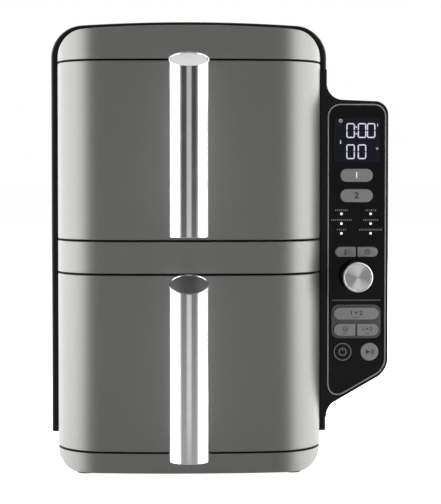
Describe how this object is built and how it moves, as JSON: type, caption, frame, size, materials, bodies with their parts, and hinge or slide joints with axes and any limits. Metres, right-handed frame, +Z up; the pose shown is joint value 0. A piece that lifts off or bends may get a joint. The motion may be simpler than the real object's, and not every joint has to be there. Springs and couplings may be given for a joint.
{
  "type": "air fryer",
  "caption": "Tall air fryer with stacked frying drawers, bar handles and a control panel on a wing at the right.",
  "frame": {"origin": "centre of the bounding box's underside, on the worktop", "axes": "+X to the right seen from the front, +Y to the back (the drawers pull towards -Y), +Z up"},
  "size_m": [0.2902, 0.47, 0.385],
  "materials": {
    "casing": "black moulded plastic with a fine satin grain",
    "frame_steel": "black powder-coated steel sheet",
    "front_grey": "satin warm grey metallic paint",
    "drawer_inner": "black heat-resistant nylon",
    "chrome": "polished chrome plate",
    "satin_metal": "spun or satin aluminium",
    "cavity_steel": "plain aluminised steel sheet",
    "heater_tube": "heat-tinted steel tube",
    "nonstick": "dark grey speckled non-stick coating",
    "panel_gloss": "piano-black gloss",
    "panel_line": "satin grey inlay",
    "key_grey": "soft-touch grey silicone",
    "key_black": "gloss black",
    "display": "smoked clear window",
    "circuit": "green circuit board",
    "rubber": "black rubber"
  },
  "bodies": {
    "housing": {"outer_shell": "casing", "rear_cover": "casing", "base_pan": "casing", "front_frame": "frame_steel", "header_trim": "front_grey", "middle_trim": "front_grey", "base_trim": "front_grey", "cord_gland": "rubber", "foot_front_left": "rubber", "foot_front_right": "rubber", "foot_rear_left": "rubber", "foot_rear_right": "rubber", "upper_liner": "cavity_steel", "upper_heater": "heater_tube", "upper_fan_guard": "cavity_steel", "upper_fan_motor": "cavity_steel", "upper_drawer_switch": "drawer_inner", "lower_liner": "cavity_steel", "lower_heater": "heater_tube", "lower_fan_guard": "cavity_steel", "lower_fan_motor": "cavity_steel", "lower_drawer_switch": "drawer_inner", "panel_bezel": "casing", "panel_back": "casing", "panel_accent": "panel_line", "panel_face": "panel_gloss", "display_window": "display", "display_module": "drawer_inner", "control_board": "circuit", "power_board": "circuit", "panel_harness": "rubber"},
    "upper_drawer": {"upper_fascia": "front_grey", "upper_drawer_core": "drawer_inner", "upper_basket": "nonstick", "upper_handle": "chrome", "upper_handle_cap": "satin_metal", "upper_handle_bracket": "drawer_inner"},
    "upper_plate": {"upper_crisper_plate": "nonstick"},
    "upper_fan": {"upper_hot_fan": "cavity_steel", "upper_cooling_fan": "casing"},
    "lower_drawer": {"lower_fascia": "front_grey", "lower_drawer_core": "drawer_inner", "lower_basket": "nonstick", "lower_handle": "chrome", "lower_handle_cap": "satin_metal", "lower_handle_bracket": "drawer_inner"},
    "lower_plate": {"lower_crisper_plate": "nonstick"},
    "lower_fan": {"lower_hot_fan": "cavity_steel", "lower_cooling_fan": "casing"},
    "dial": {"dial_knob": "drawer_inner", "dial_cap": "satin_metal"},
    "zone_1_key": {"zone_1_button": "key_grey"},
    "zone_2_key": {"zone_2_button": "key_grey"},
    "temperature_key": {"temperature_button": "key_grey"},
    "time_key": {"time_button": "key_grey"},
    "both_zones_key": {"both_zones_button": "key_grey"},
    "sync_key": {"sync_button": "key_grey"},
    "match_key": {"match_button": "key_grey"},
    "power_key": {"power_button": "key_black"},
    "start_key": {"start_button": "key_grey"}
  },
  "joints": [
    {"name": "upper_drawer_slide", "type": "slide", "parent": "housing", "child": "upper_drawer", "axis": [0, -1, 0], "range_m": [0, 0.3]},
    {"name": "upper_plate_lift", "type": "slide", "parent": "upper_drawer", "child": "upper_plate", "axis": [0, 0, 1], "range_m": [0, 0.11]},
    {"name": "upper_fan_spin", "type": "hinge", "parent": "housing", "child": "upper_fan", "pos_m": [-0.02655, 0.1613, 0.2734], "axis": [0, 1, 0], "continuous": true},
    {"name": "lower_drawer_slide", "type": "slide", "parent": "housing", "child": "lower_drawer", "axis": [0, -1, 0], "range_m": [0, 0.3]},
    {"name": "lower_plate_lift", "type": "slide", "parent": "lower_drawer", "child": "lower_plate", "axis": [0, 0, 1], "range_m": [0, 0.11]},
    {"name": "lower_fan_spin", "type": "hinge", "parent": "housing", "child": "lower_fan", "pos_m": [-0.02655, 0.1613, 0.0964], "axis": [0, 1, 0], "continuous": true},
    {"name": "dial_turn", "type": "hinge", "parent": "housing", "child": "dial", "pos_m": [0.11695, -0.1297, 0.1663], "axis": [0, 1, 0], "continuous": true},
    {"name": "zone_1_press", "type": "slide", "parent": "housing", "child": "zone_1_key", "axis": [0, 1, 0], "range_m": [0, 0.0008], "stiffness_N_per_m": 400},
    {"name": "zone_2_press", "type": "slide", "parent": "housing", "child": "zone_2_key", "axis": [0, 1, 0], "range_m": [0, 0.0008], "stiffness_N_per_m": 400},
    {"name": "temperature_press", "type": "slide", "parent": "housing", "child": "temperature_key", "axis": [0, 1, 0], "range_m": [0, 0.0008], "stiffness_N_per_m": 400},
    {"name": "time_press", "type": "slide", "parent": "housing", "child": "time_key", "axis": [0, 1, 0], "range_m": [0, 0.0008], "stiffness_N_per_m": 400},
    {"name": "both_zones_press", "type": "slide", "parent": "housing", "child": "both_zones_key", "axis": [0, 1, 0], "range_m": [0, 0.0008], "stiffness_N_per_m": 400},
    {"name": "sync_press", "type": "slide", "parent": "housing", "child": "sync_key", "axis": [0, 1, 0], "range_m": [0, 0.0008], "stiffness_N_per_m": 400},
    {"name": "match_press", "type": "slide", "parent": "housing", "child": "match_key", "axis": [0, 1, 0], "range_m": [0, 0.0008], "stiffness_N_per_m": 400},
    {"name": "power_press", "type": "slide", "parent": "housing", "child": "power_key", "axis": [0, 1, 0], "range_m": [0, 0.0008], "stiffness_N_per_m": 400},
    {"name": "start_press", "type": "slide", "parent": "housing", "child": "start_key", "axis": [0, 1, 0], "range_m": [0, 0.0008], "stiffness_N_per_m": 400}
  ]
}
